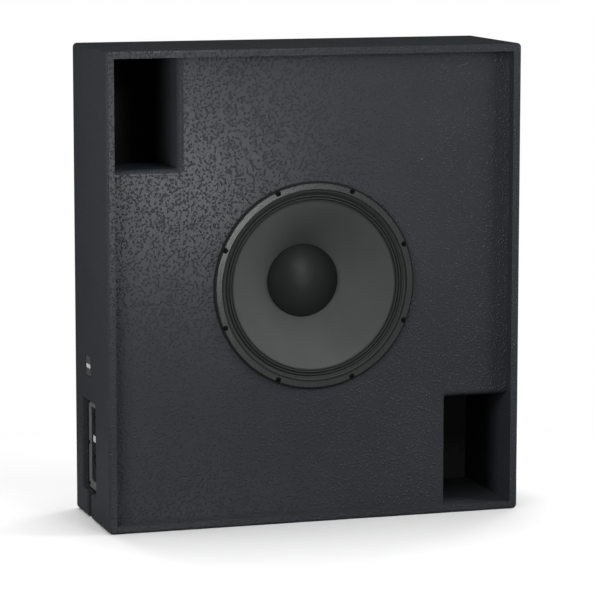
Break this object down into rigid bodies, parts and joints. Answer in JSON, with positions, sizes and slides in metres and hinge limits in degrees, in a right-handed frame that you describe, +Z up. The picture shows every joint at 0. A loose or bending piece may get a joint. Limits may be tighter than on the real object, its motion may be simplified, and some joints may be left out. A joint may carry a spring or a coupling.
{
  "type": "subwoofer cabinet",
  "caption": "Slim free-standing subwoofer cabinet: textured box, set-back baffle with a large cone driver and corner ports, connector recess on one side.",
  "frame": {"origin": "middle of the footprint, on the surface that the cabinet stands on", "axes": "+Z up along the height, +Y from the baffle to the back, +X to the right as seen from the front"},
  "size_m": [0.794, 0.254, 0.88],
  "materials": {
    "textured_coat": "sprayed textured charcoal coat on plywood",
    "bare_plywood": "bare birch plywood",
    "wadding": "white polyester wadding",
    "black_foam": "closed-cell foam",
    "black_plate": "satin black steel",
    "grey_frame": "satin dark grey steel",
    "pale_mark": "pale printed mark, blank",
    "badge_plate": "satin dark grey",
    "black_steel": "black oxide steel",
    "socket_plastic": "black glass-filled nylon",
    "red_lead": "soft PVC",
    "black_lead": "soft PVC",
    "basket_paint": "black paint",
    "gasket_board": "greenish grey pressed board",
    "surround_cloth": "doped cloth",
    "cone_paper": "coated paper",
    "dust_cap_paper": "coated paper",
    "former_foil": "bare foil",
    "copper_wire": "enamelled copper",
    "spider_cloth": "resin-treated cotton",
    "zinc_steel": "zinc plated",
    "ferrite": "sintered ferrite",
    "strip_board": "phenolic board",
    "tinsel": "braided copper"
  },
  "bodies": {
    "cabinet": {"badge": "badge_plate", "badge_mark": "pale_mark", "baffle": "textured_coat", "basket_arms": "basket_paint", "basket_ring": "basket_paint", "basket_well": "basket_paint", "batten_bottom": "bare_plywood", "batten_left": "bare_plywood", "batten_right": "bare_plywood", "batten_top": "bare_plywood", "brace_lower": "bare_plywood", "brace_upper": "bare_plywood", "driver_bolts": "black_steel", "driver_gasket": "gasket_board", "driver_magnet": "ferrite", "driver_seal": "black_foam", "driver_spider": "spider_cloth", "driver_surround": "surround_cloth", "driver_t_nuts": "zinc_steel", "driver_terminal_strip": "strip_board", "driver_top_plate": "zinc_steel", "driver_yoke": "zinc_steel", "input_backing": "textured_coat", "input_frame": "grey_frame", "input_gasket": "black_foam", "input_label": "pale_mark", "input_plate": "black_plate", "input_screws": "black_steel", "lead_negative": "black_lead", "lead_positive": "red_lead", "link_leads": "black_lead", "motor_screws": "zinc_steel", "panel_back": "textured_coat", "panel_bottom": "textured_coat", "panel_left": "textured_coat", "panel_right": "textured_coat", "panel_top": "textured_coat", "port_shelf_lower": "textured_coat", "port_shelf_upper": "textured_coat", "port_wall_lower": "textured_coat", "port_wall_upper": "textured_coat", "socket_lower": "socket_plastic", "socket_screws": "black_steel", "socket_upper": "socket_plastic", "tinsel_lead_negative": "tinsel", "tinsel_lead_positive": "tinsel", "wadding_back": "wadding", "wadding_left": "wadding", "wadding_right": "wadding"},
    "cone_assembly": {"driver_cone": "cone_paper", "dust_cap": "dust_cap_paper", "voice_coil_former": "former_foil", "voice_coil_winding": "copper_wire"}
  },
  "joints": [
    {"name": "cone_travel", "type": "slide", "parent": "cabinet", "child": "cone_assembly", "axis": [0, -1, 0], "range_m": [-0.008, 0.008], "stiffness_N_per_m": 6500, "deforming": ["driver_surround", "driver_spider", "tinsel_lead_positive", "tinsel_lead_negative"]}
  ]
}
